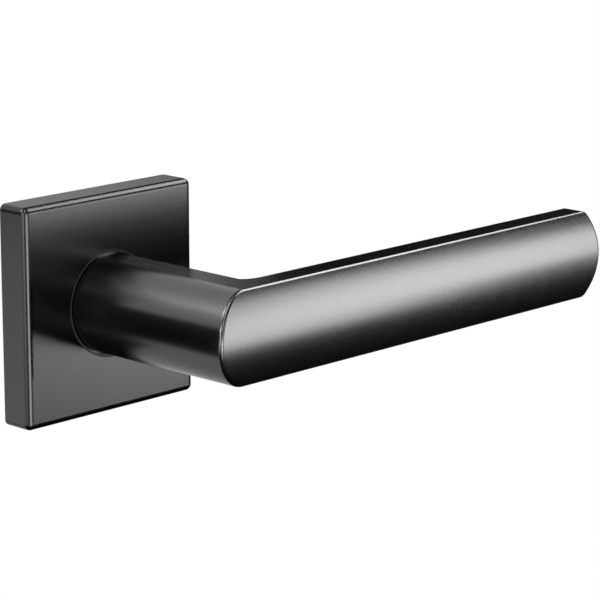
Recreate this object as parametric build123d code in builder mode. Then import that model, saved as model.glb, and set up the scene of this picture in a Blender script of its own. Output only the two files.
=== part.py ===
from build123d import *
import os
from math import cos, radians, sin, sqrt

# Door lever handle on a square rose, with the sprung mechanism behind the rose.
# Frame: +Z up, the door face is the plane Y = 0, the handle stands out along -Y and the grip points
# along +X. The origin is on the spindle axis at the door face. A depth is measured from the door
# face towards the user, and a radius from the spindle axis. Millimetres and degrees.

# Rose cover
rose_side = 50.0
rose_depth = 8.0
cover_wall = 1.6
cover_front = 1.2
cover_corner_r = 1.5
cavity_corner_r = 0.6
cover_edge_r = 1.5
pry_notch_width = 6.0
pry_notch_height = 1.2

# Guide ring in the cover's hole
ring_neck_gap = 0.3
ring_wall = 0.6
ring_flange_width = 1.5
ring_flange = 0.6
ring_recess = 0.3

# Lever outside
neck_d = 22.7
neck_flat = 0.7
neck_blend_r = 6.0
grip_reach = 117.0
grip_front = 52.3
grip_flat = 6.6
front_crown = 2.2
back_crown = 1.0
tip_crown = 3.2
tip_corner_r = 2.0
front_edge_r = 0.8
back_edge_r = 1.2
inner_corner_r = 2.0
trim = 1.0

# Lever journal and spindle
journal_d = 16.0
hub_seat_d = 14.0
hub_flats = 12.4
spindle_side = 8.0
spindle_depth = 32.0
spindle_tail = 18.0
spindle_chamfer = 0.6
socket_spare = 1.0
grub_d = 5.0
grub_length = 6.0
grub_hex = 2.5
grub_hex_depth = 2.5
grub_depth = 16.0

# Base plate and fixings
base_wall = 1.2
plate_crop = 1.2
boss_d = 7.0
boss_edge = 0.2
boss_length = 6.0
sleeve_d = 5.6
sleeve_bore_d = 3.3
sleeve_depth = 5.3
bush_wall = 1.0
thrust_thickness = 0.8
thrust_inset = 0.8

# Rotor, stops and spring
turn = 40.0
rotor_wall = 2.0
rotor_thickness = 2.25
lug_thickness = 0.95
lug_width = 5.0
lug_reach = 4.5
lug_clearance = 0.5
buffer_thickness = 2.0
stop_gap = 0.15
spring_turns = 2
spring_pitch = 2.1
strip_thickness = 0.7
strip_width = 1.0
spring_bend_r = 0.8
hook_tail = 1.0
post_d = 1.6
post_grip = 1.0
hook_sweep = 200.0
hook_room = 0.6
chamber_room = 0.3
gap_samples = 500

# Pieces that hold the rotor on the journal
disc_thickness = 0.3
disc_rise = 0.3
washer_width = 1.7
retainer_thickness = 1.0
retainer_width = 2.0
retainer_seat = 0.5
retainer_gap = 50.0
retainer_land = 0.6
retainer_hole_d = 1.0
retainer_hole_step = 12.0

# Lid, lid screws and cover clips
lid_width = 38.0
lid_edge = 1.2
lid_thickness = 1.2
lid_crop = 2.0
lid_hole_gap = 0.4
lid_screw_inset = 3.2
lid_screw_d = 2.0
lid_screw_head_d = 3.6
lid_screw_length = 4.0
clip_thickness = 0.35
clip_width = 10.0
clip_foot = 6.0
clip_leg = 4.6
clip_room = 0.7
rivet_d = 1.6
rivet_head_d = 2.6
rivet_head = 0.25
rivet_length = 3.0

# Clearances
seat_gap = 0.2
running_gap = 0.04
press_gap = 0.02
slip_gap = 0.1
end_play = 0.05
face_gap = 0.15

# Places that follow from the sizes above
neck_r = neck_d / 2
grip_half = neck_r - neck_flat
journal_r = journal_d / 2
hub_seat_r = hub_seat_d / 2
grip_back = grip_front - grip_flat
ring_r = neck_r + ring_neck_gap
ring_outer_r = ring_r + ring_wall
ring_flange_r = ring_outer_r + ring_flange_width
cover_inner = rose_depth - cover_front
cavity_side = rose_side - 2 * cover_wall
plate_side = cavity_side - 2 * clip_room
fixing_spacing = plate_side - boss_d - 2 * boss_edge
front_stack = max(ring_flange, clip_thickness + rivet_head)
plate_front = cover_inner - front_stack - seat_gap
thrust_back = plate_front + end_play
neck_foot = thrust_back + thrust_thickness
bush_r = journal_r + running_gap + bush_wall
chamber_top = plate_front - base_wall
rotor_front = chamber_top - face_gap
rotor_back = rotor_front - rotor_thickness
lug_back = rotor_front - lug_thickness
spring_room_top = lug_back - slip_gap
strip_front = spring_room_top - slip_gap
strip_back = strip_front - strip_width
disc_back = rotor_back - disc_thickness - disc_rise
retainer_back = disc_back - retainer_thickness
journal_end = retainer_back - retainer_land
rotor_r = hub_seat_r + rotor_wall
lug_r = rotor_r + lug_reach
spring_inner_r = rotor_r + spring_bend_r
spring_outer_r = spring_inner_r + spring_turns * spring_pitch
chamber_r = spring_outer_r + strip_thickness / 2 + chamber_room
post_r = post_d / 2
hook_r = post_r + strip_thickness / 2 + slip_gap
post_x = -(spring_outer_r + hook_r)
hook_pocket_r = hook_r + strip_thickness / 2 + hook_room
lid_height = fixing_spacing - sleeve_d - 2 * lid_edge
screw_x = lid_width / 2 - lid_screw_inset
screw_z = lid_height / 2 - lid_screw_inset
screw_places = [(screw_x, screw_z), (-screw_x, -screw_z)]
rivet_x = plate_side / 2 - clip_foot / 2
clip_front = plate_front + clip_thickness
clip_outer_x = cavity_side / 2 - face_gap
clip_inner_x = clip_outer_x - clip_thickness
lug_room_r = lug_r + lug_clearance
hub_room_r = rotor_r + lug_clearance
stop_offset = lug_width / 2 + stop_gap
rest_angle = 90 + turn / 2
full_angle = 90 - turn / 2
socket_side = spindle_side + 2 * slip_gap
grub_top = -spindle_side / 2 - slip_gap


def facing(depth):
    """Plane parallel to the door at a depth in front of it, with sketch axes X and Z."""
    return Plane.XZ.offset(depth)


def polar(radius, angle):
    """Point in a plane parallel to the door, by radius and angle from +X towards +Z."""
    return (radius * cos(radians(angle)), radius * sin(radians(angle)))


def ring(inner_r, outer_r, back, front):
    """Plain ring about the spindle axis between two depths, added to the open part."""
    with BuildSketch(facing(back)) as section:
        Circle(outer_r)
        Circle(inner_r, mode=Mode.SUBTRACT)
    extrude(section.sketch, amount=front - back)


def cropped_plate(width, height, crop):
    """Rectangle with its corners cut off at 45 degrees, added to the open sketch."""
    with BuildSketch() as plate:
        Rectangle(width, height)
        chamfer(plate.vertices(), crop)
    add(plate.sketch_local)


def crown_fall(rise, height):
    """How far a crowned face of the grip falls back at a height from the grip's middle."""
    crown_r = (grip_half**2 + rise**2) / (2 * rise)
    return crown_r - sqrt(crown_r**2 - height**2)


def stop_wedge(offset):
    """Wedge swept by the lug from rest to full turn, with its two sides set off from the lug's middle."""
    rest_foot = Vector(*polar(offset, rest_angle + 90))
    full_foot = Vector(*polar(offset, full_angle - 90))
    rest_end = rest_foot + Vector(*polar(2 * lug_r, rest_angle))
    full_end = full_foot + Vector(*polar(2 * lug_r, full_angle))
    with BuildSketch() as wedge:
        with BuildLine():
            Polyline(rest_foot, rest_end, full_end, full_foot, close=True)
        make_face()
    return wedge.sketch_local


def finish(part, name):
    """Label a finished piece and write it as its own node."""
    part.label = name
    export_step(part, f"parts/{name}.step")


os.makedirs("parts", exist_ok=True)
door_side = Plane(origin=(0, 0, 0), x_dir=(1, 0, 0), z_dir=(0, 1, 0))
FROM_BASE = (Align.CENTER, Align.CENTER, Align.MIN)

# Lever: crowned grip and round neck with a rounded corner between them, both trimmed to one outline with
# flats, then the journal and the spindle socket
flat_x = sqrt(neck_r**2 - grip_half**2)
tip_shoulder = grip_reach - tip_crown
blank_half = neck_r + inner_corner_r + trim
crest = grip_front + front_crown
rear = grip_back - back_crown
blank_front = crest - crown_fall(front_crown, blank_half)
blank_back = rear + crown_fall(back_crown, blank_half)
with BuildPart() as lever:
    with BuildSketch(Plane.YZ.offset(-blank_half)):
        with BuildLine():
            ThreePointArc((-blank_front, -blank_half), (-crest, 0), (-blank_front, blank_half))
            Line((-blank_front, blank_half), (-blank_back, blank_half))
            ThreePointArc((-blank_back, blank_half), (-rear, 0), (-blank_back, -blank_half))
            Line((-blank_back, -blank_half), (-blank_front, -blank_half))
        make_face()
    extrude(amount=blank_half + grip_reach + trim)
    with BuildSketch(Plane(origin=(0, -neck_foot, 0), x_dir=(-1, 0, 0), z_dir=(0, -1, 0))):
        Circle(neck_r)
    extrude(amount=grip_back + grip_flat / 2 - neck_foot)
    fillet(lever.edges(Select.LAST).sort_by(Axis.Y)[0], inner_corner_r)
    with BuildSketch(facing(0)) as outline:
        with BuildLine():
            ThreePointArc((-flat_x, grip_half), (-neck_r, 0), (-flat_x, -grip_half))
            Line((-flat_x, -grip_half), (tip_shoulder, -grip_half))
            ThreePointArc((tip_shoulder, -grip_half), (grip_reach, 0), (tip_shoulder, grip_half))
            Line((tip_shoulder, grip_half), (-flat_x, grip_half))
        make_face()
        fillet(outline.vertices().group_by(Axis.X)[-1], tip_corner_r)
        fillet(outline.vertices().filter_by(lambda v: abs(v.X + flat_x) < trim), neck_blend_r)
    extrude(amount=crest + trim, mode=Mode.INTERSECT)
    fillet(lever.faces().sort_by(Axis.Y)[0].edges(), front_edge_r)
    long_edges = lever.edges().filter_by(Axis.X)
    fillet(long_edges.filter_by_position(Axis.Y, -grip_back - trim, -grip_back + trim), back_edge_r)
    with BuildSketch(facing(rotor_front)):
        Circle(journal_r)
    extrude(amount=neck_foot - rotor_front)
    with BuildSketch(facing(journal_end)):
        Circle(hub_seat_r)
        Rectangle(hub_flats, hub_seat_d, mode=Mode.INTERSECT)
    extrude(amount=rotor_front - journal_end)
    with BuildSketch(facing(retainer_back)):
        Circle(hub_seat_r + retainer_seat)
        Circle(hub_seat_r - retainer_seat, mode=Mode.SUBTRACT)
    extrude(amount=retainer_thickness, mode=Mode.SUBTRACT)
    with BuildSketch(facing(journal_end)):
        Rectangle(socket_side, socket_side)
    extrude(amount=spindle_depth + socket_spare - journal_end, mode=Mode.SUBTRACT)
    with BuildSketch(Plane.XY.offset(-neck_r)):
        with Locations((0, -grub_depth)):
            Circle(grub_d / 2)
    extrude(amount=neck_r - spindle_side / 4, mode=Mode.SUBTRACT)
finish(lever.part, "lever")

# Rose cover: square shell with a hole for the neck and a pry notch at its lower edge
with BuildPart() as rose_cover:
    with BuildSketch(facing(0)):
        RectangleRounded(rose_side, rose_side, cover_corner_r)
    extrude(amount=rose_depth)
    fillet(rose_cover.faces().sort_by(Axis.Y)[0].edges(), cover_edge_r)
    with BuildSketch(facing(0)):
        RectangleRounded(cavity_side, cavity_side, cavity_corner_r)
    extrude(amount=cover_inner, mode=Mode.SUBTRACT)
    with BuildSketch(facing(cover_inner)):
        Circle(ring_outer_r + press_gap)
    extrude(amount=cover_front, mode=Mode.SUBTRACT)
    with BuildSketch(facing(0)):
        with Locations((0, -rose_side / 2)):
            Rectangle(pry_notch_width, 2 * cover_wall)
    extrude(amount=pry_notch_height, mode=Mode.SUBTRACT)
finish(rose_cover.part, "rose_cover")

# Guide ring: sleeve in the cover's hole, with a flange behind the cover's front wall
with BuildPart() as cover_ring:
    ring(ring_r, ring_flange_r, cover_inner - ring_flange, cover_inner)
    ring(ring_r, ring_outer_r, cover_inner, rose_depth - ring_recess)
finish(cover_ring.part, "cover_ring")

# Base plate: bosses, bush seat, spring chamber, lug pocket, lid rebate and holes for the fasteners
with BuildPart() as base_plate:
    with BuildSketch(facing(0)):
        cropped_plate(plate_side, plate_side, plate_crop)
    extrude(amount=plate_front)
    with BuildSketch(facing(-boss_length)):
        with GridLocations(0, fixing_spacing, 1, 2):
            Circle(boss_d / 2)
    extrude(amount=boss_length)
    with BuildSketch(facing(chamber_top)):
        Circle(bush_r + press_gap)
    extrude(amount=base_wall, mode=Mode.SUBTRACT)
    with BuildSketch(facing(0)):
        Circle(chamber_r)
        with Locations((post_x, 0)):
            Circle(hook_pocket_r)
    extrude(amount=spring_room_top, mode=Mode.SUBTRACT)
    with BuildSketch(facing(spring_room_top)):
        add(stop_wedge(stop_offset + buffer_thickness))
        Circle(lug_room_r, mode=Mode.INTERSECT)
        Circle(hub_room_r)
    extrude(amount=chamber_top - spring_room_top, mode=Mode.SUBTRACT)
    with BuildSketch(facing(0)):
        cropped_plate(lid_width + 2 * slip_gap, lid_height + 2 * slip_gap, lid_crop)
    extrude(amount=lid_thickness, mode=Mode.SUBTRACT)
    with BuildSketch(facing(-boss_length)):
        with GridLocations(0, fixing_spacing, 1, 2):
            Circle(sleeve_d / 2 + press_gap)
    extrude(amount=boss_length + sleeve_depth, mode=Mode.SUBTRACT)
    with BuildSketch(facing(0)):
        with Locations(*screw_places):
            Circle(lid_screw_d / 2 + press_gap)
    extrude(amount=lid_screw_length, mode=Mode.SUBTRACT)
    with BuildSketch(facing(spring_room_top)):
        with Locations((post_x, 0)):
            Circle(post_r + press_gap)
    extrude(amount=post_grip, mode=Mode.SUBTRACT)
    with BuildSketch(facing(plate_front - rivet_length)):
        with GridLocations(2 * rivet_x, 0, 2, 1):
            Circle(rivet_d / 2 + press_gap)
    extrude(amount=rivet_length, mode=Mode.SUBTRACT)
finish(base_plate.part, "base_plate")

# Chamber lid: plate let into the back of the base plate, with countersunk screw holes
with BuildPart() as cassette_lid:
    with BuildSketch(facing(0)):
        cropped_plate(lid_width, lid_height, lid_crop)
        Circle(hub_seat_r + retainer_width + lid_hole_gap, mode=Mode.SUBTRACT)
    extrude(amount=lid_thickness)
    with Locations(door_side):
        with Locations(*[(x, -z) for x, z in screw_places]):
            CounterSinkHole(lid_screw_d / 2 + press_gap, lid_screw_head_d / 2, counter_sink_angle=90)
finish(cassette_lid.part, "cassette_lid")

# Lid screws: countersunk heads flush with the door face
lid_head_r = lid_screw_head_d / 2 - press_gap
lid_shank_r = lid_screw_d / 2
with BuildPart() as lid_screws:
    with Locations(facing(0)):
        with Locations(*screw_places):
            Cone(lid_head_r, lid_shank_r, lid_head_r - lid_shank_r, align=FROM_BASE)
            Cylinder(lid_shank_r, lid_screw_length - slip_gap, align=FROM_BASE)
finish(lid_screws.part, "lid_screws")

# Bush: bearing for the journal in the base plate's front wall
with BuildPart() as bearing_bush:
    ring(journal_r + running_gap, bush_r, chamber_top, plate_front)
finish(bearing_bush.part, "bearing_bush")

# Threaded sleeves: one in each boss, open towards the door
with BuildPart() as threaded_sleeves:
    with BuildSketch(facing(-boss_length)):
        with GridLocations(0, fixing_spacing, 1, 2):
            Circle(sleeve_d / 2)
            Circle(sleeve_bore_d / 2, mode=Mode.SUBTRACT)
    extrude(amount=boss_length + sleeve_depth)
finish(threaded_sleeves.part, "threaded_sleeves")

# Return spring: hook in the rotor, spiral of growing half turns, hook round the post
with BuildPart() as return_spring:
    with BuildLine(facing(strip_back + strip_width / 2)) as coil:
        Line((hook_tail - rotor_r, spring_bend_r), (-rotor_r, spring_bend_r))
        bend_mid = polar(spring_bend_r, 135)
        ThreePointArc(
            (-rotor_r, spring_bend_r), (bend_mid[0] - rotor_r, bend_mid[1]), (-spring_inner_r, 0)
        )
        for half in range(2 * spring_turns):
            side = -1 if half % 2 == 0 else 1
            start_x = side * (spring_inner_r + half * spring_pitch / 2)
            end_x = -side * (spring_inner_r + (half + 1) * spring_pitch / 2)
            middle = ((start_x + end_x) / 2, side * abs(end_x - start_x) / 2)
            ThreePointArc((start_x, 0), middle, (end_x, 0))
        hook_mid = polar(hook_r, -hook_sweep / 2)
        hook_end = polar(hook_r, -hook_sweep)
        ThreePointArc(
            (-spring_outer_r, 0), (post_x + hook_mid[0], hook_mid[1]), (post_x + hook_end[0], hook_end[1])
        )
    with BuildSketch(Plane(coil.wire() @ 0, x_dir=(0, 1, 0), z_dir=coil.wire() % 0)):
        Rectangle(strip_width, strip_thickness)
    sweep(path=coil.wire())
finish(return_spring.part, "return_spring")

# Least gap of the spring to itself, measured between points that aren't neighbours along it
trail = [coil.wire() @ (i / gap_samples) for i in range(gap_samples + 1)]
skip = int(gap_samples * 4 * hook_r / coil.wire().length)
nearest = min(
    (trail[i] - trail[j]).length for i in range(gap_samples + 1) for j in range(i + skip, gap_samples + 1)
)
print(f"spring: least gap to itself {nearest - strip_thickness:.2f} mm")

# Post that the spring's outer hook goes round
with BuildPart() as spring_post:
    with BuildSketch(facing(lid_thickness + slip_gap)):
        with Locations((post_x, 0)):
            Circle(post_r)
    extrude(amount=spring_room_top + post_grip - lid_thickness - slip_gap)
finish(spring_post.part, "spring_post")

# Stop buffers: a block at each end of the lug pocket
with BuildPart() as stop_buffers:
    with BuildSketch(facing(spring_room_top)):
        add(stop_wedge(stop_offset + buffer_thickness - press_gap))
        add(stop_wedge(stop_offset), mode=Mode.SUBTRACT)
        Circle(lug_room_r - press_gap, mode=Mode.INTERSECT)
        Circle(hub_room_r, mode=Mode.SUBTRACT)
    extrude(amount=chamber_top - spring_room_top)
buffers = stop_buffers.solids().sort_by(Axis.X)
finish(buffers[0], "stop_buffer_rest")
finish(buffers[-1], "stop_buffer_full")

# Cover clips: a leaf spring riveted to each side of the base plate's front, with a leg down the side
with BuildPart() as cover_clip:
    with BuildSketch(Plane.XY.offset(-clip_width / 2)):
        with BuildLine():
            Polyline(
                (plate_side / 2 - clip_foot, -plate_front),
                (plate_side / 2 - clip_foot, -clip_front),
                (clip_outer_x, -clip_front),
                (clip_outer_x, clip_leg - clip_front),
                (clip_inner_x, clip_leg - clip_front),
                (clip_inner_x, -plate_front),
                close=True,
            )
        make_face()
    extrude(amount=clip_width)
    with BuildSketch(facing(plate_front)):
        with Locations((rivet_x, 0)):
            Circle(rivet_d / 2 + press_gap)
    extrude(amount=clip_thickness, mode=Mode.SUBTRACT)
finish(cover_clip.part, "cover_clip_right")
finish(mirror(cover_clip.part, about=Plane.YZ, mode=Mode.PRIVATE), "cover_clip_left")

# Clip rivets
with BuildPart() as clip_rivets:
    with BuildSketch(facing(plate_front - rivet_length)):
        with GridLocations(2 * rivet_x, 0, 2, 1):
            Circle(rivet_d / 2)
    extrude(amount=rivet_length + clip_thickness)
    with BuildSketch(facing(clip_front)):
        with GridLocations(2 * rivet_x, 0, 2, 1):
            Circle(rivet_head_d / 2)
    extrude(amount=rivet_head)
finish(clip_rivets.part, "clip_rivets")

# Thrust washer between the neck's foot and the base plate
with BuildPart() as thrust_washer:
    ring(journal_r + slip_gap, neck_r - thrust_inset, thrust_back, neck_foot)
finish(thrust_washer.part, "thrust_washer")

# Drive rotor: hub on the journal's flats, stop lug, and a slot for the spring's inner hook
with BuildPart() as drive_rotor:
    with BuildSketch(facing(rotor_back)):
        Circle(rotor_r)
    extrude(amount=rotor_thickness)
    with BuildSketch(facing(lug_back)):
        with Locations(polar(lug_r, rest_angle)):
            Rectangle(2 * lug_r, lug_width, rotation=rest_angle)
        Circle(lug_r, mode=Mode.INTERSECT)
    extrude(amount=lug_thickness)
    with BuildSketch(facing(rotor_back)):
        Circle(hub_seat_r + slip_gap)
        Rectangle(hub_flats + 2 * slip_gap, 2 * rotor_r, mode=Mode.INTERSECT)
    extrude(amount=rotor_thickness, mode=Mode.SUBTRACT)
    with BuildSketch(facing(rotor_back)):
        with Locations((-rotor_r, spring_bend_r)):
            Rectangle(2 * (hook_tail + slip_gap), strip_thickness + 2 * slip_gap)
    extrude(amount=strip_front + slip_gap - rotor_back, mode=Mode.SUBTRACT)
finish(drive_rotor.part, "drive_rotor")

# Conical spring and retaining ring behind the rotor
disc_inner_r = hub_seat_r + slip_gap
disc_outer_r = hub_seat_r + washer_width
with BuildPart() as disc_spring:
    with BuildSketch(Plane.XY):
        with BuildLine():
            Polyline(
                (disc_outer_r, -disc_back),
                (disc_outer_r, -disc_back - disc_thickness),
                (disc_inner_r, -rotor_back),
                (disc_inner_r, disc_thickness - rotor_back),
                close=True,
            )
        make_face()
    revolve(axis=Axis.Y)
finish(disc_spring.part, "disc_spring")

retainer_hole_angle = -90 + retainer_gap / 2 + retainer_hole_step
retainer_mid_r = hub_seat_r + retainer_width / 2
with BuildPart() as retaining_ring:
    with BuildSketch(facing(retainer_back)):
        Circle(hub_seat_r + retainer_width)
        Circle(hub_seat_r - retainer_seat + press_gap, mode=Mode.SUBTRACT)
        gap_left = polar(2 * rotor_r, -90 - retainer_gap / 2)
        gap_right = polar(2 * rotor_r, -90 + retainer_gap / 2)
        Polygon((0, 0), gap_left, gap_right, align=None, mode=Mode.SUBTRACT)
        with Locations(polar(retainer_mid_r, retainer_hole_angle)):
            Circle(retainer_hole_d / 2, mode=Mode.SUBTRACT)
        with Locations(polar(retainer_mid_r, -180 - retainer_hole_angle)):
            Circle(retainer_hole_d / 2, mode=Mode.SUBTRACT)
    extrude(amount=retainer_thickness)
finish(retaining_ring.part, "retaining_ring")

# Spindle: square bar from inside the neck to behind the door face
with BuildPart() as spindle:
    with BuildSketch(facing(-spindle_tail)):
        Rectangle(spindle_side, spindle_side)
    extrude(amount=spindle_tail + spindle_depth)
    end_faces = spindle.faces().filter_by(Axis.Y)
    chamfer(end_faces.edges(), spindle_chamfer)
finish(spindle.part, "spindle")

# Grub screw under the neck, with its tip on the spindle
with BuildPart() as grub_screw:
    with BuildSketch(Plane.XY.offset(grub_top - grub_length)):
        with Locations((0, -grub_depth)):
            Circle(grub_d / 2 - press_gap)
    extrude(amount=grub_length)
    with BuildSketch(Plane.XY.offset(grub_top - grub_length)):
        with Locations((0, -grub_depth)):
            RegularPolygon(grub_hex / 2, 6, major_radius=False)
    extrude(amount=grub_hex_depth, mode=Mode.SUBTRACT)
finish(grub_screw.part, "grub_screw")
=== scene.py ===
"""Door lever handle on a square rose: finishes, small detailed pieces, studio and camera."""
import logging
import math
from dataclasses import dataclass
from enum import Enum
from typing import Any, Callable, Iterable

import bpy
from mathutils import Euler, Matrix, Vector


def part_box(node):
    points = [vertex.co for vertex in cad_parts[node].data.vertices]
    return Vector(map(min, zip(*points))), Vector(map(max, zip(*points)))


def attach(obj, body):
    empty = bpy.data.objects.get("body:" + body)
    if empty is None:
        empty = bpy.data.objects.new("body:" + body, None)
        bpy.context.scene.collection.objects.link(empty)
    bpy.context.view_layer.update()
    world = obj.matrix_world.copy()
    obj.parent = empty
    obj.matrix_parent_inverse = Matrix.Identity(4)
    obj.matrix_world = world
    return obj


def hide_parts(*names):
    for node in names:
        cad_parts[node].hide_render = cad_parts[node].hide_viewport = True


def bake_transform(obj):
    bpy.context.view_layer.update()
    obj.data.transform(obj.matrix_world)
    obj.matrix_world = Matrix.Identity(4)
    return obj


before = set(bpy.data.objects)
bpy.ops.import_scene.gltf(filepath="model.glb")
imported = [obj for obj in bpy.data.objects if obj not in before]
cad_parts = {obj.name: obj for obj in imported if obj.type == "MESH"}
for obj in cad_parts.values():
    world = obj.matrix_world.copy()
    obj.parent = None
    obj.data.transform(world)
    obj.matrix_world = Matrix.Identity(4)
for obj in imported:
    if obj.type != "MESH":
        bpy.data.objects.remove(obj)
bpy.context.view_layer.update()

LOG = logging.getLogger("door_lever")
MM = 0.001
HAIR = 0.01 * MM
MERGE = 0.0005 * MM
THREAD_STEPS = 30
SPARE_TURNS = 2
NORMAL_WEIGHT = 80
FINE = 150.0
Number = int | float
Colour = tuple[float, float, float]
Point = tuple[float, float, float]
Pair = tuple[float, float]
ORIGIN: Point = (0.0, 0.0, 0.0)
EVEN: Point = (1.0, 1.0, 1.0)
BLACK: Colour = (0.0, 0.0, 0.0)
WHITE: Colour = (1.0, 1.0, 1.0)


class Slot(Enum):
    """Material slots of the part."""

    LEVER = "black_lever"
    ROSE = "black_rose"
    BLACK_NYLON = "black_nylon"
    WHITE_NYLON = "white_nylon"
    CASTING = "zinc_casting"
    PLATED = "zinc_plated"
    SPRING = "spring_steel"
    BRIGHT = "bright_steel"
    OXIDE = "black_oxide"
    RUBBER = "buffer_rubber"


class Body(Enum):
    """Bodies that pieces ride on."""

    ROSE = "rose"
    COVER = "cover"
    LEVER = "lever"


class Lay(Enum):
    """Direction in which a surface was worked, as a stretch of its texture along each axis."""

    ACROSS = (1.0, 1.0, FINE)
    ON_TOP = (1.0, FINE, 1.0)
    ALONG_DEPTH = (FINE, 1.0, FINE)
    ROUND = (60.0, 60.0, 60.0)


class Pick(Enum):
    """What edit mode picks, as its switches for vertices, edges and faces."""

    EDGES = (False, True, False)
    FACES = (False, False, True)


@dataclass(frozen=True)
class Pattern:
    """Smooth noise, by its waves per metre, its octaves and the share of the finer ones."""

    scale: float
    detail: float = 2.0
    roughness: float = 0.5


class Signal:
    """A shader value that takes Python arithmetic."""

    def __init__(self, board: "Board", socket: bpy.types.NodeSocket) -> None:
        """Wrap one output socket of a board."""
        self.board = board
        self.socket = socket

    def _math(self, operation: str, first: Any, second: Any) -> "Signal":
        """Add one Math node for an operation on two values."""
        return self.board.node("ShaderNodeMath", {"operation": operation}, {0: first, 1: second})

    def __add__(self, other: Any) -> "Signal":
        """Sum."""
        return self._math("ADD", self, other)

    def __radd__(self, other: Number) -> "Signal":
        """Sum with a number on the left."""
        return self._math("ADD", other, self)

    def __rsub__(self, other: Number) -> "Signal":
        """Difference with a number on the left."""
        return self._math("SUBTRACT", other, self)

    def __mul__(self, other: Any) -> "Signal":
        """Product."""
        return self._math("MULTIPLY", self, other)

    def __rmul__(self, other: Number) -> "Signal":
        """Product with a number on the left."""
        return self._math("MULTIPLY", other, self)

    def __abs__(self) -> "Signal":
        """Size without sign."""
        return self._math("ABSOLUTE", self, 0.0)

    def __gt__(self, other: Number) -> "Signal":
        """1 where the value is above a number, else 0."""
        return self._math("GREATER_THAN", self, other)

    def larger(self, other: Any) -> "Signal":
        """The larger of two values."""
        return self._math("MAXIMUM", self, other)


class Board:
    """A node tree that is filled through one method."""

    def __init__(self, tree: bpy.types.NodeTree) -> None:
        """Empty a node tree and keep it."""
        self.tree = tree
        self.tree.nodes.clear()

    def node(
        self,
        kind: str,
        settings: dict[str, Any] | None = None,
        sockets: dict[Any, Any] | None = None,
        output: Any = 0,
    ) -> Signal:
        """Add a node.

        Args:
            kind: Node type.
            settings: Properties, set before the sockets.
            sockets: Values, colours or signals by socket name or number.
            output: Name or number of the output to wrap.

        Returns:
            The wrapped output.
        """
        node = self.tree.nodes.new(kind)
        for key, value in (settings or {}).items():
            setattr(node, key, value)
        for key, value in (sockets or {}).items():
            if isinstance(value, Signal):
                self.tree.links.new(value.socket, node.inputs[key])
            else:
                node.inputs[key].default_value = value
        if not node.outputs:
            return Signal(self, node.inputs[0])
        return Signal(self, node.outputs[output])

    def place(self, scale: Point) -> Signal:
        """Object coordinates, stretched by a scale along each axis."""
        where = self.node("ShaderNodeTexCoord", output="Object")
        return self.node("ShaderNodeMapping", None, {"Vector": where, "Scale": scale})

    def noise(self, where: Signal, pattern: Pattern) -> Signal:
        """Add smooth noise from 0 to 1.

        Args:
            where: Coordinates.
            pattern: Its waves.

        Returns:
            The noise level.
        """
        return self.node(
            "ShaderNodeTexNoise",
            None,
            {
                "Vector": where,
                "Scale": pattern.scale,
                "Detail": pattern.detail,
                "Roughness": pattern.roughness,
            },
        )

    def tint(self, dark: Colour, light: Colour, level: Signal) -> Signal:
        """Mix two colours.

        Args:
            dark: Colour at level 0.
            light: Colour at level 1.
            level: Level between them.

        Returns:
            The mixed colour.
        """
        return self.node(
            "ShaderNodeMix",
            {"data_type": "RGBA"},
            {0: level, 6: (*dark, 1.0), 7: (*light, 1.0)},
            output=2,
        )

    def bump(self, height: Signal, strength: float, distance: float) -> Signal:
        """Make a normal from a height.

        Args:
            height: Height from 0 to 1.
            strength: Share of the bump.
            distance: Depth of the bump.

        Returns:
            The bumped normal.
        """
        return self.node(
            "ShaderNodeBump",
            None,
            {"Strength": strength, "Distance": distance, "Height": height},
        )


def shade(colour: Colour, factor: float) -> Colour:
    """A colour made darker or lighter by a factor."""
    return (colour[0] * factor, colour[1] * factor, colour[2] * factor)


@dataclass(frozen=True)
class Finish:
    """Base of all finishes: a colour whose tone, sheen and height vary by two patterns.

    The tone goes from a dark to a light shade of the colour. The sheen's roughness starts below
    its mean by a drop. The shares say how much each pattern adds to them.
    """

    name: str
    colour: Colour
    roughness: float
    metallic: float = 1.0
    dark: float = 0.9
    light: float = 1.1
    tone_shares: Pair = (0.5, 0.5)
    sheen_drop: float = 0.05
    sheen_shares: Pair = (0.06, 0.05)
    strength: float = 0.15
    relief: float = 0.03 * MM

    def material(self) -> bpy.types.Material:
        """Make the material.

        Returns:
            The new material.
        """
        material = bpy.data.materials.new(self.name)
        material.use_nodes = True
        board = Board(material.node_tree)
        sockets = {"Metallic": self.metallic, **self.sockets(board)}
        surface = board.node("ShaderNodeBsdfPrincipled", None, sockets)
        board.node("ShaderNodeOutputMaterial", None, {"Surface": surface})
        return material

    def sockets(self, board: Board) -> dict[str, Any]:
        """Socket values of the surface shader.

        Args:
            board: Board that the nodes go on.

        Returns:
            Values and signals by socket name.
        """
        raise NotImplementedError

    def _surface(
        self, board: Board, first: Signal, second: Signal, height: Signal | None = None
    ) -> dict[str, Any]:
        """Socket values of a surface that varies by two patterns.

        Args:
            board: Board that the nodes go on.
            first: First pattern.
            second: Second pattern.
            height: Height from 0 to 1, which is the tone where none is given.

        Returns:
            Signals by socket name.
        """
        tone = self.tone_shares[0] * first + self.tone_shares[1] * second
        smooth = self.roughness - self.sheen_drop
        roughness = smooth + self.sheen_shares[0] * first + self.sheen_shares[1] * second
        bumps = tone if height is None else height
        return {
            "Base Color": board.tint(
                shade(self.colour, self.dark), shade(self.colour, self.light), tone
            ),
            "Roughness": roughness,
            "Normal": board.bump(bumps, self.strength, self.relief),
        }


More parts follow.
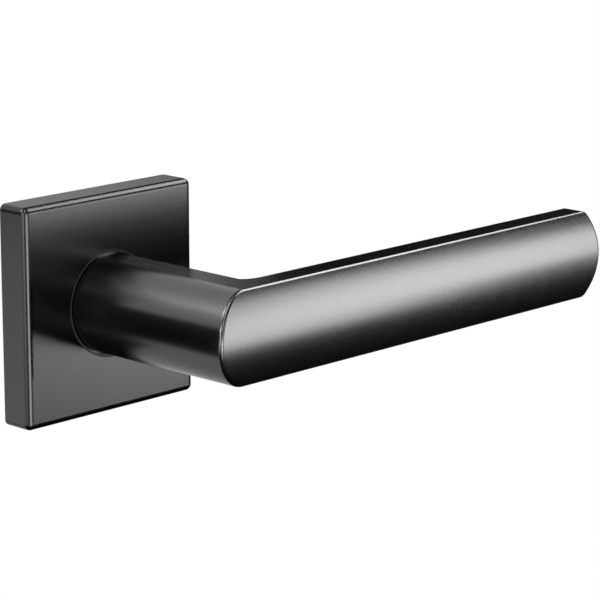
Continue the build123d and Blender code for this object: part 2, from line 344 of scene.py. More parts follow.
@dataclass(frozen=True)
class SatinBlack(Finish):
    """Fine blasted and dyed metal with a soft sheen."""

    dark: float = 0.93
    light: float = 1.07
    tone_shares: Pair = (0.35, 0.65)
    sheen_drop: float = 0.025
    sheen_shares: Pair = (0.025, 0.025)
    strength: float = 0.05
    relief: float = 0.02 * MM
    grain: Pattern = Pattern(5200.0, 3.0, 0.6)
    cloud: Pattern = Pattern(55.0)

    def sockets(self, board: Board) -> dict[str, Any]:
        """Fine grain, with slow clouds in sheen and tone.

        Args:
            board: Board that the nodes go on.

        Returns:
            Values and signals by socket name.
        """
        where = board.place(EVEN)
        grain = board.noise(where, self.grain)
        cloud = board.noise(where, self.cloud)
        return self._surface(board, grain, cloud, grain)


@dataclass(frozen=True)
class BrushedBlack(Finish):
    """Dyed metal brushed in level strokes."""

    dark: float = 0.88
    light: float = 1.12
    tone_shares: Pair = (0.6, 0.4)
    sheen_shares: Pair = (0.07, 0.03)
    strength: float = 0.12
    strokes: Pattern = Pattern(40.0, 3.0, 0.65)
    cloud: Pattern = Pattern(45.0)
    top_rise: float = 0.7

    def sockets(self, board: Board) -> dict[str, Any]:
        """Level strokes on upright faces and long strokes on the faces that look up or down.

        Args:
            board: Board that the nodes go on.

        Returns:
            Values and signals by socket name.
        """
        upright = board.noise(board.place(Lay.ACROSS.value), self.strokes)
        level = board.noise(board.place(Lay.ON_TOP.value), self.strokes)
        normal = board.node("ShaderNodeTexCoord", output="Normal")
        rise = abs(board.node("ShaderNodeSeparateXYZ", None, {0: normal}, output="Z"))
        mask = rise > self.top_rise
        stroke = upright * (1.0 - mask) + level * mask
        cloud = board.noise(board.place(EVEN), self.cloud)
        return self._surface(board, stroke, cloud, stroke)


@dataclass(frozen=True)
class BrightMetal(Finish):
    """Drawn, plated or ground steel with fine working lines."""

    dark: float = 0.86
    light: float = 1.14
    sheen_drop: float = 0.06
    sheen_shares: Pair = (0.08, 0.05)
    lay: Lay = Lay.ALONG_DEPTH
    strokes: Pattern = Pattern(60.0, 3.0, 0.6)
    cloud: Pattern = Pattern(120.0, 3.0)

    def sockets(self, board: Board) -> dict[str, Any]:
        """Working lines along the lay, with slow clouds in tone.

        Args:
            board: Board that the nodes go on.

        Returns:
            Values and signals by socket name.
        """
        stroke = board.noise(board.place(self.lay.value), self.strokes)
        cloud = board.noise(board.place(EVEN), self.cloud)
        return self._surface(board, stroke, cloud, stroke)


@dataclass(frozen=True)
class CastMetal(Finish):
    """Die casting with a mottled skin."""

    dark: float = 0.72
    light: float = 1.18
    tone_shares: Pair = (0.7, 0.3)
    sheen_drop: float = 0.1
    sheen_shares: Pair = (0.14, 0.06)
    strength: float = 0.25
    relief: float = 0.08 * MM
    flow: Pattern = Pattern(160.0, 4.0, 0.6)
    grain: Pattern = Pattern(3200.0, 3.0, 0.6)

    def sockets(self, board: Board) -> dict[str, Any]:
        """Flow marks and a fine grain.

        Args:
            board: Board that the nodes go on.

        Returns:
            Values and signals by socket name.
        """
        where = board.place(EVEN)
        flow = board.noise(where, self.flow)
        grain = board.noise(where, self.grain)
        return self._surface(board, flow, grain)


@dataclass(frozen=True)
class MouldedNylon(Finish):
    """Moulded plastic or rubber with a fine spark texture."""

    metallic: float = 0.0
    tone_shares: Pair = (0.45, 0.55)
    strength: float = 0.2
    relief: float = 0.06 * MM
    dents: Pattern = Pattern(2600.0, 2.0, 0.55)
    cloud: Pattern = Pattern(90.0)

    def sockets(self, board: Board) -> dict[str, Any]:
        """Fine dents of the mould with slow clouds in sheen.

        Args:
            board: Board that the nodes go on.

        Returns:
            Values and signals by socket name.
        """
        where = board.place(EVEN)
        dents = board.noise(where, self.dents)
        cloud = board.noise(where, self.cloud)
        return self._surface(board, dents, cloud, dents)


FINISHES: dict[Slot, Finish] = {
    Slot.LEVER: SatinBlack("satin_black_lever", (0.110, 0.110, 0.112), 0.27),
    Slot.ROSE: BrushedBlack("brushed_black_rose", (0.048, 0.048, 0.049), 0.26),
    Slot.BLACK_NYLON: MouldedNylon("black_nylon_moulding", (0.014, 0.014, 0.015), 0.58),
    Slot.WHITE_NYLON: MouldedNylon("white_nylon_moulding", (0.62, 0.61, 0.57), 0.48),
    Slot.CASTING: CastMetal("zinc_die_casting", (0.24, 0.24, 0.25), 0.55),
    Slot.PLATED: BrightMetal("zinc_plated_steel", (0.56, 0.57, 0.58), 0.36, lay=Lay.ROUND),
    Slot.SPRING: BrightMetal("blued_spring_steel", (0.30, 0.31, 0.34), 0.32, lay=Lay.ACROSS),
    Slot.BRIGHT: BrightMetal("bright_drawn_steel", (0.60, 0.60, 0.60), 0.27),
    Slot.OXIDE: BrightMetal("black_oxide_steel", (0.05, 0.05, 0.052), 0.42, lay=Lay.ROUND),
    Slot.RUBBER: MouldedNylon("buffer_rubber_black", (0.018, 0.018, 0.018), 0.75),
}


class Wardrobe:
    """Materials by slot, made once each."""

    def __init__(self) -> None:
        """Start with no material made."""
        self._made: dict[Slot, bpy.types.Material] = {}

    def material(self, slot: Slot) -> bpy.types.Material:
        """Make a slot's material, or find it.

        Args:
            slot: The slot.

        Returns:
            Its material.
        """
        if slot not in self._made:
            self._made[slot] = FINISHES[slot].material()
        return self._made[slot]

    def dress_node(self, node: str, slot: Slot) -> None:
        """Give every material slot of a CAD node one finish.

        Args:
            node: Name of the CAD node.
            slot: Its finish.
        """
        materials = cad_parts[node].data.materials
        for index in range(len(materials)):
            materials[index] = self.material(slot)
        LOG.info("dressed %s in %s", node, slot.value)

    def _coat(self, piece: bpy.types.Object, slot: Slot) -> None:
        """Give a new piece its finish and slot.

        Args:
            piece: The new piece.
            slot: Its finish.
        """
        piece.data.materials.clear()
        piece.data.materials.append(self.material(slot))

    def dress_piece(self, piece: bpy.types.Object, slot: Slot, body: Body) -> None:
        """Give a new piece its finish, slot and body.

        Args:
            piece: The new piece.
            slot: Its finish.
            body: Body that it rides on.
        """
        self._coat(piece, slot)
        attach(piece, body.value)
        LOG.info("built %s on %s in %s", piece.name, body.value, slot.value)

    def dress_sprung(
        self,
        piece: bpy.types.Object,
        slot: Slot,
        ends: tuple[Body, Body],
        span: tuple[Point, Point],
    ) -> None:
        """Give a piece that winds between two bodies its finish and slot.

        Args:
            piece: The new piece.
            slot: Its finish.
            ends: Bodies at its first and its last end, which are only named in the log.
            span: Points where it leaves the first body and reaches the last; not used.
        """
        self._coat(piece, slot)
        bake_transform(piece)
        first, last = (end.value for end in ends)
        LOG.info("built %s from %s to %s in %s", piece.name, first, last, slot.value)


class Bench:
    """Hand modelling in code: a start shape, picked by place and shaped in edit mode."""

    name: str
    piece: bpy.types.Object

    def __init__(self, name: str) -> None:
        """Clear the bench for a new piece."""
        self.name = name
        bpy.ops.object.select_all(action="DESELECT")

    def adopt(self) -> None:
        """Take the primitive just added as the piece, with its place in its mesh."""
        self.piece = bpy.context.object
        self.piece.name = self.name
        self.piece.data.name = self.name
        bpy.ops.object.transform_apply(location=True, rotation=True, scale=True)

    def disc(self, radius: float, sides: int, place: Point) -> None:
        """Start from a flat disc that faces the door, picked and ready to extrude.

        Args:
            radius: Radius of the disc.
            sides: Number of its sides.
            place: Its middle.
        """
        facing = (-math.pi / 2, 0.0, 0.0)
        bpy.ops.mesh.primitive_circle_add(
            vertices=sides, radius=radius, fill_type="NGON", location=place, rotation=facing
        )
        self.adopt()
        self.pick_all()

    def block(self, size: Point, place: Point) -> None:
        """Start from a block."""
        bpy.ops.mesh.primitive_cube_add(size=1.0, location=place, scale=size)
        self.adopt()

    def strip(
        self, thickness: float, width: float, corner: float, place: Point, turn: float
    ) -> None:
        """Start from the rounded section of a flat strip, picked and ready to sweep.

        Args:
            thickness: Size along X before the turn.
            width: Size along Y.
            corner: Corner rounding.
            place: Middle of the section.
            turn: Turn about Y.
        """
        bpy.ops.mesh.primitive_plane_add(size=1.0, location=place, rotation=(0.0, turn, 0.0))
        bpy.context.object.scale = (thickness, width, 1.0)
        self.adopt()
        self.pick_all()
        bpy.ops.mesh.bevel(offset=corner, segments=3, affect="VERTICES")
        self.pick_all()

    def _object_mode(self) -> None:
        """Leave edit mode."""
        if bpy.context.mode != "OBJECT":
            bpy.ops.object.mode_set(mode="OBJECT")

    def _alone(self) -> None:
        """Leave edit mode with this piece alone picked and active."""
        self._object_mode()
        bpy.ops.object.select_all(action="DESELECT")
        self.piece.select_set(True)
        bpy.context.view_layer.objects.active = self.piece

    def _enter(self, pick: Pick) -> None:
        """Go to edit mode with edges or faces picked as marked."""
        bpy.context.tool_settings.mesh_select_mode = pick.value
        bpy.ops.object.mode_set(mode="EDIT")

    def _unpick(self) -> bpy.types.Mesh:
        """Leave edit mode with nothing picked.

        Returns:
            The piece's mesh.
        """
        self._object_mode()
        mesh = self.piece.data
        for items in (mesh.vertices, mesh.edges, mesh.polygons):
            items.foreach_set("select", [False] * len(items))
        return mesh

    def pick_faces(self, test: Callable[[Vector, Vector], bool]) -> None:
        """Pick faces.

        Args:
            test: Whether a face is picked, by its centre and its normal.
        """
        mesh = self._unpick()
        for face in mesh.polygons:
            face.select = test(face.center, face.normal)
        self._enter(Pick.FACES)

    def pick_edges(self, test: Callable[[Vector, Vector], bool]) -> None:
        """Pick edges.

        Args:
            test: Whether an edge is picked, by its two ends.
        """
        mesh = self._unpick()
        for edge in mesh.edges:
            ends = [mesh.vertices[index] for index in edge.vertices]
            edge.select = test(ends[0].co, ends[1].co)
            for end in ends:
                end.select = end.select or edge.select
        self._enter(Pick.EDGES)

    def pick_all(self) -> None:
        """Pick the whole piece."""
        self._unpick()
        self._enter(Pick.FACES)
        bpy.ops.mesh.select_all(action="SELECT")

    def extrude(self, move: Point, shrink: float = 1.0, centre: Point = ORIGIN) -> None:
        """Extrude what is picked, and scale it about the axis through a centre along Y.

        Args:
            move: Way to move.
            shrink: Scale across X and Z at the new end.
            centre: Point of the axis.
        """
        bpy.ops.mesh.extrude_region_move(TRANSFORM_OT_translate={"value": move})
        if shrink != 1.0:
            bpy.ops.transform.resize(value=(shrink, 1.0, shrink), center_override=centre)

    def spin(self, angle: float, steps: int, centre: Point) -> None:
        """Sweep what is picked about an axis along Y, left-handed where the angle is above 0."""
        bpy.ops.mesh.spin(steps=steps, angle=angle, center=centre, axis=(0.0, 1.0, 0.0))

    def put(self, place: Point, turn: Point) -> None:
        """Turn and move the piece, with its place in its mesh.

        Args:
            place: Where its origin goes.
            turn: Its turn about each axis.
        """
        self._alone()
        self.piece.rotation_euler = turn
        self.piece.location = place
        bpy.ops.object.transform_apply(location=True, rotation=True, scale=True)

    def apply(self, kind: str, **settings: Any) -> None:
        """Add a modifier and apply it.

        Args:
            kind: Modifier type.
            settings: Its properties.
        """
        self._alone()
        modifier = self.piece.modifiers.new(kind.lower(), kind)
        for key, value in settings.items():
            setattr(modifier, key, value)
        bpy.ops.object.modifier_apply(modifier=modifier.name)

    def finish(self, smooth_degrees: float = 32.0) -> bpy.types.Object:
        """Merge doubles, turn the faces outwards and smooth the curved ones.

        Args:
            smooth_degrees: Edges flatter than this are smoothed.

        Returns:
            The finished piece.
        """
        self.pick_all()
        bpy.ops.mesh.remove_doubles(threshold=MERGE)
        bpy.ops.mesh.normals_make_consistent(inside=False)
        self._alone()
        bpy.ops.object.shade_smooth_by_angle(angle=math.radians(smooth_degrees))
        self.apply("WEIGHTED_NORMAL", weight=NORMAL_WEIGHT, keep_sharp=True)
        return self.piece

    def copy(self, name: str, move: Point) -> bpy.types.Object:
        """Copy the finished piece, with its own mesh, to another place.

        Args:
            name: Name of the copy.
            move: Way from the piece to its copy.

        Returns:
            The copy.
        """
        twin = self.piece.copy()
        twin.data = self.piece.data.copy()
        twin.name = name
        twin.data.name = name
        twin.data.transform(Matrix.Translation(move))
        bpy.context.scene.collection.objects.link(twin)
        return twin

    def cut(self, cutter: "Bench") -> None:
        """Cut another closed piece out of this one and drop the cutter."""
        self.apply("BOOLEAN", operation="DIFFERENCE", solver="EXACT", object=cutter.piece)
        bpy.data.objects.remove(cutter.piece)


def threaded_rod(name: str, crest: float, root: float, pitch: float, length: float) -> Bench:
    """Closed rod with a screw thread along Y, from Y = 0 towards the user.

    Args:
        name: Name of the piece.
        crest: Radius over the thread.
        root: Radius under the thread.
        pitch: Rise per turn.
        length: Length of the rod.

    Returns:
        The bench with the rod on it.
    """
    bench = Bench(name)
    bpy.ops.mesh.primitive_circle_add(vertices=3, radius=root, fill_type="NOTHING")
    bench.adopt()
    profile = [(root, pitch, 0.0), (crest, pitch / 2, 0.0), (root, 0.0, 0.0)]
    for vertex, place in zip(bench.piece.data.vertices, profile):
        vertex.co = place
    bench.pick_edges(lambda a, b: abs(a.x - b.x) < HAIR)
    bpy.ops.mesh.delete(type="EDGE_FACE")
    bench.apply(
        "SCREW",
        axis="Y",
        screw_offset=-pitch,
        iterations=math.ceil(length / pitch) + SPARE_TURNS,
        steps=THREAD_STEPS,
        render_steps=THREAD_STEPS,
        use_merge_vertices=True,
    )
    bench.pick_all()
    bpy.ops.mesh.remove_doubles(threshold=MERGE)
    for depth, way in ((0.0, 1.0), (-length, -1.0)):
        bpy.ops.mesh.select_all(action="SELECT")
        bpy.ops.mesh.bisect(
            plane_co=(0.0, depth, 0.0),
            plane_no=(0.0, way, 0.0),
            clear_outer=True,
            threshold=MERGE,
        )
    bpy.ops.mesh.select_all(action="SELECT")
    bpy.ops.mesh.fill_holes(sides=0)
    bench.finish()
    return bench


@dataclass
class SubAssembly:
    """Pieces of one body, with the finish of each."""

    wardrobe: Wardrobe
    body: Body

    def finishes(self) -> dict[str, Slot]:
        """Slot of each CAD node that shows as it is."""
        raise NotImplementedError

    def build(self) -> None:
        """Model the pieces that the frame leaves plain."""

    def dress(self) -> None:
        """Give each CAD node its finish."""
        for node, slot in self.finishes().items():
            self.wardrobe.dress_node(node, slot)


@dataclass
class LeverSet(SubAssembly):
    """Lever, spindle and what turns with them."""

    spindle_round: float = 0.6 * MM
    spindle_chamfer: float = 0.4 * MM
    grub_pitch: float = 0.8 * MM
    grub_thread: float = 0.4 * MM
    hex_radius: float = 1.44 * MM
    hex_depth: float = 2.5 * MM

    def build(self) -> None:
        """Model the spindle and the grub screw."""
        self.build_spindle()
        self.build_grub_screw()

    def build_spindle(self) -> None:
        """Drawn square bar with rounded long edges and chamfered ends."""
        low, high = (Vector(corner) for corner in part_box("spindle"))
        bench = Bench("spindle_bar")
        bench.block(tuple(high - low), tuple((low + high) / 2))
        bench.pick_edges(lambda a, b: abs(a.y - b.y) > HAIR)
        bpy.ops.mesh.bevel(offset=self.spindle_round, segments=3, affect="EDGES")
        bench.pick_edges(lambda a, b: abs(a.y - b.y) < HAIR)
        bpy.ops.mesh.bevel(offset=self.spindle_chamfer, segments=2, affect="EDGES")
        self.wardrobe.dress_piece(bench.finish(), Slot.BRIGHT, self.body)
        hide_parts("spindle")

    def build_grub_screw(self) -> None:
        """Headless screw with a thread and a hexagon socket, pointing up."""
        low, high = (Vector(corner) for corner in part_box("grub_screw"))
        radius = (high.x - low.x) / 2
        root = radius - self.grub_thread
        length = high.z - low.z
        bench = threaded_rod("grub_screw_threaded", radius, root, self.grub_pitch, length)
        socket = Bench("hexagon_cutter")
        bpy.ops.mesh.primitive_cylinder_add(
            vertices=6,
            radius=self.hex_radius,
            depth=2 * self.hex_depth,
            rotation=(math.pi / 2, 0.0, 0.0),
        )
        socket.adopt()
        bench.cut(socket)
        middle = (low + high) / 2
        bench.put((middle.x, middle.y, low.z), (-math.pi / 2, 0.0, 0.0))
        self.wardrobe.dress_piece(bench.finish(), Slot.OXIDE, self.body)
        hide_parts("grub_screw")

    def finishes(self) -> dict[str, Slot]:
        """List the finishes.

        Returns:
            Slot of each CAD node on the lever.
        """
        return {
            "lever": Slot.LEVER,
            "drive_rotor": Slot.PLATED,
            "thrust_washer": Slot.WHITE_NYLON,
            "disc_spring": Slot.SPRING,
            "retaining_ring": Slot.OXIDE,
        }


@dataclass
class CoverSet(SubAssembly):
    """Rose cover and its guide ring."""

    def finishes(self) -> dict[str, Slot]:
        """Slot of each CAD node on the cover."""
        return {"rose_cover": Slot.ROSE, "cover_ring": Slot.BLACK_NYLON}


@dataclass
class RoseSet(SubAssembly):
    """Base plate with its lid, cover clips and fixings."""

    screw_head: float = 1.78 * MM
    screw_rim: float = 0.06 * MM
    screw_shank: float = 1.0 * MM
    screw_point: float = 0.5 * MM
    point_taper: float = 0.5
    recess_span: float = 2.1 * MM
    recess_width: float = 0.5 * MM
    recess_depth: float = 0.7 * MM
    recess_taper: Point = (0.45, 1.0, 0.7)
    rivet_shank: float = 0.8 * MM
    rivet_head: float = 0.25 * MM
    rivet_round: float = 0.2 * MM
    sleeve_crest: float = 1.65 * MM
    sleeve_root: float = 2.0 * MM
    sleeve_pitch: float = 0.7 * MM
    sleeve_round: float = 0.2 * MM
    sides: int = 48

    def build(self) -> None:
        """Model the screws, sleeves and rivets."""
        self.build_lid_screws()
        self.build_sleeves()
        self.build_rivets()

    def _keep(self, pieces: Iterable[bpy.types.Object], slot: Slot, node: str) -> None:
        """Dress the pieces that stand for one CAD node.

        Args:
            pieces: The new pieces.
            slot: Their finish.
            node: Name of the CAD node.
        """
        for piece in pieces:
            self.wardrobe.dress_piece(piece, slot, self.body)
            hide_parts(node)

    def build_lid_screws(self) -> None:
        """Countersunk screws with a cross recess, flush with the door face."""
        low, high = (Vector(corner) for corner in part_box("lid_screws"))
        place = (high.x - self.screw_head, high.y, high.z - self.screw_head)
        cone = self.screw_head - self.screw_shank
        shank = high.y - low.y - self.screw_rim - cone - self.screw_point
        bench = Bench("lid_screw_upper")
        bench.disc(self.screw_head, self.sides, place)
        bench.extrude((0.0, -self.screw_rim, 0.0))
        bench.extrude((0.0, -cone, 0.0), self.screw_shank / self.screw_head, place)
        bench.extrude((0.0, -shank, 0.0))
        bench.extrude((0.0, -self.screw_point, 0.0), self.point_taper, place)
        bench.finish()
        for turn in (0.0, math.pi / 2):
            bench.cut(self._recess_cutter(place, turn))
        bench.finish()
        twin = bench.copy("lid_screw_lower", (-2 * place[0], 0.0, -2 * place[2]))
        self._keep((bench.piece, twin), Slot.PLATED, "lid_screws")

    def _recess_cutter(self, place: Point, turn: float) -> Bench:
        """Tapered blade that cuts one slot of a cross recess.

        Args:
            place: Middle of the screw's face.
            turn: Turn about Y.

        Returns:
            The bench with the blade on it.
        """
        cutter = Bench("recess_cutter")
        cutter.block((self.recess_span, 2 * self.recess_depth, self.recess_width), ORIGIN)
        cutter.pick_faces(lambda centre, normal: centre.y < -HAIR)
        bpy.ops.transform.resize(value=self.recess_taper, center_override=ORIGIN)
        cutter.put(place, (0.0, turn, 0.0))
        return cutter

    def build_sleeves(self) -> None:
        """Fixing sleeves with an inside thread."""
        low, high = (Vector(corner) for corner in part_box("threaded_sleeves"))
        radius = high.x
        length = high.y - low.y
        bench = Bench("threaded_sleeve_upper")
        bench.disc(radius, self.sides, (0.0, high.y, 0.0))
        bench.extrude((0.0, -length, 0.0))
        bench.pick_edges(lambda a, b: abs(a.y - b.y) < HAIR)
        bpy.ops.mesh.bevel(offset=self.sleeve_round, segments=2, affect="EDGES")
        bench.finish()
        spare = SPARE_TURNS * self.sleeve_pitch
        reach = length + 2 * spare
        rod = threaded_rod(
            "sleeve_cutter", self.sleeve_root, self.sleeve_crest, self.sleeve_pitch, reach
        )
        rod.piece.data.transform(Matrix.Translation((0.0, high.y + spare, 0.0)))
        bench.cut(rod)
        bench.finish()
        rise = high.z - radius
        bench.piece.data.transform(Matrix.Translation((0.0, 0.0, rise)))
        twin = bench.copy("threaded_sleeve_lower", (0.0, 0.0, -2 * rise))
        self._keep((bench.piece, twin), Slot.PLATED, "threaded_sleeves")

    def build_rivets(self) -> None:
        """Rivets with a low rounded head."""
        low, high = (Vector(corner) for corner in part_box("clip_rivets"))
        head = high.z
        place = (high.x - head, high.y, 0.0)
        bench = Bench("clip_rivet_right")
        bench.disc(self.rivet_shank, self.sides, place)
        bench.extrude((0.0, low.y - high.y + self.rivet_head, 0.0))
        bench.extrude(ORIGIN, head / self.rivet_shank, place)
        bench.extrude((0.0, -self.rivet_head, 0.0))
        bench.pick_edges(lambda a, b: max(a.y, b.y) < low.y + HAIR)
        bpy.ops.mesh.bevel(offset=self.rivet_round, segments=4, affect="EDGES")
        bench.finish()
        twin = bench.copy("clip_rivet_left", (-2 * place[0], 0.0, 0.0))
        self._keep((bench.piece, twin), Slot.BRIGHT, "clip_rivets")

    def finishes(self) -> dict[str, Slot]:
        """List the finishes.

        Returns:
            Slot of each CAD node on the base plate.
        """
        return {
            "base_plate": Slot.CASTING,
            "cassette_lid": Slot.PLATED,
            "bearing_bush": Slot.WHITE_NYLON,
            "cover_clip_left": Slot.SPRING,
            "cover_clip_right": Slot.SPRING,
        }


@dataclass
class SpringSet(SubAssembly):
    """Return spring with its post and the stop buffers."""

    strip_thickness: float = 0.7 * MM
    strip_round: float = 0.16 * MM
    tail: float = 1.0 * MM
    bend: float = 0.8 * MM
    inner: float = 9.8 * MM
    pitch: float = 2.1 * MM
    turns: int = 2
    hook: float = 1.25 * MM
    hook_sweep: float = 200.0
    steps: int = 30
    smooth_degrees: float = 50.0

    def build(self) -> None:
        """Wind a flat strip from its tail in the rotor to its hook round the post."""
        low, high = (Vector(corner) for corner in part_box("return_spring"))
        middle = (low.y + high.y) / 2
        width = high.y - low.y
        self._wind_inner(middle, width)
        self._wind_outer(middle, width)

    def _wind_inner(self, middle: float, width: float) -> None:
        """Tail and first half turn, the end that winds with the lever in the real part, here tied
        to no body.

        Args:
            middle: Place of the strip along Y.
            width: Width of the strip.
        """
        seat = self.bend - self.inner
        start = seat + self.tail
        place = (start, middle, self.bend)
        bench = Bench("return_spring_inner")
        bench.strip(self.strip_thickness, width, self.strip_round, place, math.pi / 2)
        bench.extrude((-self.tail, 0.0, 0.0))
        bench.spin(math.pi / 2, self.steps // 4, (seat, middle, 0.0))
        bench.spin(math.pi, self.steps, (self.pitch / 4, middle, 0.0))
        end = self.inner + self.pitch / 2 - self.strip_thickness
        span = ((start, middle, 0.0), (end, middle, 0.0))
        piece = bench.finish(self.smooth_degrees)
        self.wardrobe.dress_sprung(piece, Slot.SPRING, (Body.LEVER, self.body), span)
        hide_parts("return_spring")

    def _wind_outer(self, middle: float, width: float) -> None:
        """Further half turns and the hook, which stay with the base plate.

        Args:
            middle: Place of the strip along Y.
            width: Width of the strip.
        """
        bench = Bench("return_spring_outer")
        place = (self.inner + self.pitch / 2, middle, 0.0)
        bench.strip(self.strip_thickness, width, self.strip_round, place, 0.0)
        for half in range(1, 2 * self.turns):
            centre = -self.pitch / 4 if half % 2 else self.pitch / 4
            bench.spin(math.pi, self.steps, (centre, middle, 0.0))
        post = -(self.inner + self.turns * self.pitch + self.hook)
        bench.spin(-math.radians(self.hook_sweep), self.steps // 2, (post, middle, 0.0))
        piece = bench.finish(self.smooth_degrees)
        self.wardrobe.dress_piece(piece, Slot.SPRING, self.body)
        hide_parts("return_spring")

    def finishes(self) -> dict[str, Slot]:
        """List the finishes.

        Returns:
            Slot of each CAD node in the spring chamber.
        """
        return {
            "spring_post": Slot.BRIGHT,
            "stop_buffer_rest": Slot.RUBBER,
            "stop_buffer_full": Slot.RUBBER,
        }


def outward(azimuth: float, elevation: float) -> Vector:
    """Direction from the object.

    Args:
        azimuth: Degrees from +X towards +Y.
        elevation: Degrees above level.

    Returns:
        The direction, of length 1.
    """
    turn = math.radians(azimuth)
    rise = math.radians(elevation)
    flat = math.cos(rise)
    return Vector((flat * math.cos(turn), flat * math.sin(turn), math.sin(rise)))


def aim(place: Vector, target: Vector) -> Euler:
    """Turn that points an object's -Z axis from a place to a target."""
    return (target - place).to_track_quat("-Z", "Y").to_euler()


def darken(card: bpy.types.Object, material: bpy.types.Material) -> None:
    """Make a mesh of the studio dark, for mirrored light alone to see.

    Args:
        card: The mesh object.
        material: The dark material.
    """
    card.data.materials.append(material)
    card.visible_camera = False
    card.visible_diffuse = False
    card.visible_shadow = False


@dataclass(frozen=True)
class Softbox:
    """Area lamp on a ball round the object, with its place and size as angles in degrees."""

    name: str
    azimuth: float
    elevation: float
    wide: float
    high: float
    radiance: float
    distance: float = 0.75

    def build(self, target: Vector) -> None:
        """Add the lamp.

        Args:
            target: Point that it faces.
        """
        width = 2 * self.distance * math.tan(math.radians(self.wide / 2))
        height = 2 * self.distance * math.tan(math.radians(self.high / 2))
        place = target + self.distance * outward(self.azimuth, self.elevation)
        lamp = bpy.data.lights.new(self.name, "AREA")
        lamp.shape = "RECTANGLE"
        lamp.size = width
        lamp.size_y = height
        lamp.energy = self.radiance * math.pi * width * height
        rig = bpy.data.objects.new(self.name, lamp)
        rig.location = place
        rig.rotation_euler = aim(place, target)
        rig.visible_camera = False
        bpy.context.scene.collection.objects.link(rig)


@dataclass(frozen=True)
class Flag:
    """Dark card that only mirrored light sees."""

    name: str
    place: Point
    target: Point
    width: float
    height: float

    def build(self, material: bpy.types.Material) -> None:
        """Add the card.

        Args:
            material: The dark material.
        """
        bench = Bench(self.name)
        bpy.ops.mesh.primitive_plane_add(size=1.0)
        bench.adopt()
        card = bench.piece
        card.data.transform(Matrix.Diagonal((self.width, self.height, 1.0, 1.0)))
        card.rotation_euler = aim(Vector(self.place), Vector(self.target))
        card.location = self.place
        darken(card, material)


@dataclass(frozen=True)
class Drape:
    """Dark dome that only mirrored light sees, open to the white behind the object."""

    name: str = "studio_drape"
    radius: float = 1.5
    open_middle: float = 93.0
    open_half_width: float = 47.0
    open_low: float = 14.0
    open_high: float = 60.0
    segments: int = 64
    rings: int = 32

    def _shows_white(self, direction: Vector) -> bool:
        """Whether the drape is open in a direction.

        Args:
            direction: Direction from the object, of length 1.

        Returns:
            True where the white behind shows.
        """
        azimuth = math.degrees(math.atan2(direction.y, direction.x))
        elevation = math.degrees(math.asin(direction.z))
        level = abs(azimuth - self.open_middle) <= self.open_half_width
        return level and self.open_low < elevation < self.open_high

    def build(self, material: bpy.types.Material) -> None:
        """Add the drape.

        Args:
            material: The dark material.
        """
        bench = Bench(self.name)
        bpy.ops.mesh.primitive_uv_sphere_add(
            segments=self.segments, ring_count=self.rings, radius=self.radius
        )
        bench.adopt()
        bench.pick_faces(lambda centre, normal: self._shows_white(centre.normalized()))
        bpy.ops.mesh.delete(type="FACE")
        bpy.ops.object.mode_set(mode="OBJECT")
        drape = bench.piece
        darken(drape, material)


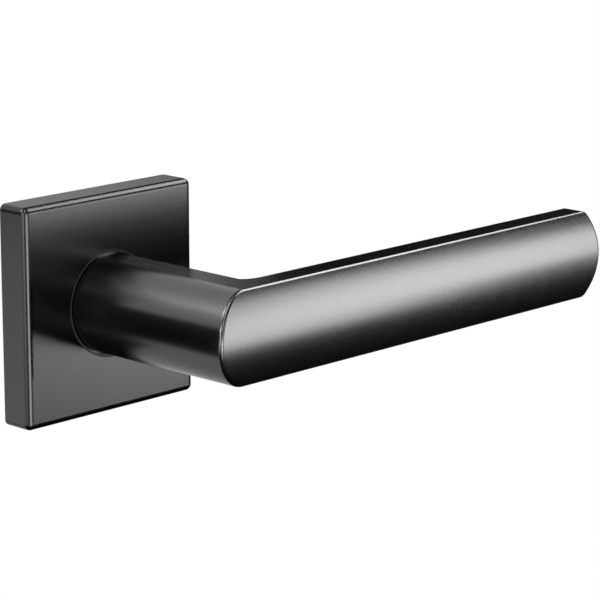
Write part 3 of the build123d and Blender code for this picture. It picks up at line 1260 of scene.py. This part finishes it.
@dataclass
class Studio:
    """Floor, white surroundings, lamps, flags and camera."""

    floor_z: float = -0.50
    floor_radius: float = 2.4
    floor_sides: int = 96
    floor_colour: Colour = (0.80, 0.80, 0.80)
    near: float = 0.42
    far: float = 1.00
    fill: float = 0.15
    lit_point: Point = (0.04, -0.03, 0.0)
    camera_place: Point = (-0.399287, -0.451433, 0.141086)
    camera_azimuth: float = -46.0448
    camera_elevation: float = 13.2720
    lens: float = 164.20
    sensor: float = 36.0
    clip_start: float = 0.01

    def lamps(self) -> list[Softbox]:
        """List the lamps.

        Returns:
            Each lamp, by its azimuth, elevation, width, height and radiance.
        """
        return [
            Softbox("key_softbox", -47.0, -2.0, 10.0, 32.0, 6.4),
            Softbox("key_core", -37.0, -2.0, 10.0, 17.0, 6.6),
            Softbox("key_wing", -57.0, -6.0, 10.0, 22.0, 5.0),
            Softbox("edge_softbox", -14.0, 45.0, 48.0, 16.0, 9.5),
            Softbox("back_high_softbox", 145.0, 46.0, 18.0, 18.0, 13.0),
            Softbox("left_high_softbox", 180.0, 20.0, 16.0, 16.0, 11.0),
            Softbox("left_softbox", -160.0, 0.0, 16.0, 16.0, 8.0),
            Softbox("front_softbox", -106.0, -13.0, 32.0, 22.0, 7.0),
            Softbox("left_low_softbox", 176.0, -13.0, 64.0, 20.0, 1.3),
            Softbox("front_low_softbox", -120.0, -28.0, 16.0, 16.0, 4.7, distance=0.55),
            Softbox("front_high_softbox", -134.0, 30.0, 16.0, 16.0, 5.0),
            Softbox("face_softbox", -88.0, 4.0, 34.0, 40.0, 1.2),
            Softbox("top_softbox", -130.0, 62.0, 24.0, 34.0, 5.0),
            Softbox("side_softbox", 136.0, -14.0, 16.0, 14.0, 1.9),
        ]

    def flags(self) -> list[Flag]:
        """List the dark cards.

        Returns:
            Each card, by its place, the point that it faces, its width and its height.
        """
        return [
            Flag("low_flag", (0.03, -0.80, -0.295), (0.03, -0.80, 0.0), 2.6, 2.0),
            Flag("back_flag", (0.14, 0.006, 0.03), (0.14, -0.05, 0.03), 0.16, 0.08),
            Flag("neck_flag", (-0.022, -0.028, -0.003), (0.0, -0.028, -0.003), 0.037, 0.021),
        ]

    @staticmethod
    def _seen(board: Board) -> Signal:
        """Tell the rays that see the white surroundings.

        Args:
            board: Board that the nodes go on.

        Returns:
            1 for camera, mirror and glass rays, else 0.
        """
        names = ("Is Camera Ray", "Is Glossy Ray", "Is Transmission Ray")
        camera, mirror, glass = (board.node("ShaderNodeLightPath", output=name) for name in names)
        return camera.larger(mirror).larger(glass)

    def build_world(self) -> None:
        """White surroundings for what is seen, a soft fill for the rest."""
        world = bpy.data.worlds.new("white_studio")
        world.use_nodes = True
        board = Board(world.node_tree)
        strength = self.fill + (1.0 - self.fill) * self._seen(board)
        white = board.node(
            "ShaderNodeBackground", None, {"Color": (*WHITE, 1.0), "Strength": strength}
        )
        board.node("ShaderNodeOutputWorld", None, {"Surface": white})
        bpy.context.scene.world = world

    def build_floor(self) -> None:
        """Pale round floor that keeps the shadow near the object and runs out to white."""
        bpy.ops.object.select_all(action="DESELECT")
        bpy.ops.mesh.primitive_circle_add(
            vertices=self.floor_sides,
            radius=self.floor_radius,
            fill_type="NGON",
            location=(0.0, 0.0, self.floor_z),
        )
        floor = bpy.context.object
        floor.name = "studio_floor"
        material = bpy.data.materials.new("pale_floor")
        material.use_nodes = True
        board = Board(material.node_tree)
        where = board.node("ShaderNodeTexCoord", output="Object")
        length = board.node(
            "ShaderNodeVectorMath", {"operation": "LENGTH"}, {0: where}, output="Value"
        )
        run_out = board.node(
            "ShaderNodeMapRange",
            {"interpolation_type": "SMOOTHSTEP"},
            {"Value": length, "From Min": self.near, "From Max": self.far},
        )
        pale = board.node("ShaderNodeBsdfDiffuse", None, {"Color": (*self.floor_colour, 1.0)})
        white = board.node("ShaderNodeEmission", None, {"Color": (*WHITE, 1.0), "Strength": 1.0})
        mixed = board.node(
            "ShaderNodeMixShader", None, {0: run_out * self._seen(board), 1: pale, 2: white}
        )
        board.node("ShaderNodeOutputMaterial", None, {"Surface": mixed})
        floor.data.materials.append(material)

    def build_flags(self) -> None:
        """Dark cards and the drape, which the camera doesn't see."""
        material = bpy.data.materials.new("flag_black")
        material.use_nodes = True
        board = Board(material.node_tree)
        black = board.node("ShaderNodeBsdfDiffuse", None, {"Color": (*BLACK, 1.0)})
        board.node("ShaderNodeOutputMaterial", None, {"Surface": black})
        for flag in self.flags():
            flag.build(material)
        Drape().build(material)

    def build_camera(self) -> None:
        """Camera at the photographed angle."""
        data = bpy.data.cameras.new("camera")
        data.sensor_width = self.sensor
        data.lens = self.lens
        data.clip_start = self.clip_start
        camera = bpy.data.objects.new("camera", data)
        camera.location = self.camera_place
        tilt = math.radians(90.0 - self.camera_elevation)
        camera.rotation_euler = (tilt, 0.0, math.radians(self.camera_azimuth))
        bpy.context.scene.collection.objects.link(camera)
        bpy.context.scene.camera = camera

    def build(self) -> None:
        """Build the whole studio."""
        bpy.context.scene.view_settings.view_transform = "Standard"
        self.build_world()
        self.build_floor()
        self.build_flags()
        for lamp in self.lamps():
            lamp.build(Vector(self.lit_point))
        self.build_camera()


def main() -> None:
    """Build the object and its studio."""
    logging.basicConfig(level=logging.INFO, format="%(name)s: %(message)s")
    wardrobe = Wardrobe()
    sets = [
        LeverSet(wardrobe, Body.LEVER),
        CoverSet(wardrobe, Body.COVER),
        RoseSet(wardrobe, Body.ROSE),
        SpringSet(wardrobe, Body.ROSE),
    ]
    for pieces in sets:
        pieces.build()
        pieces.dress()
    Studio().build()


if __name__ == "__main__":
    main()
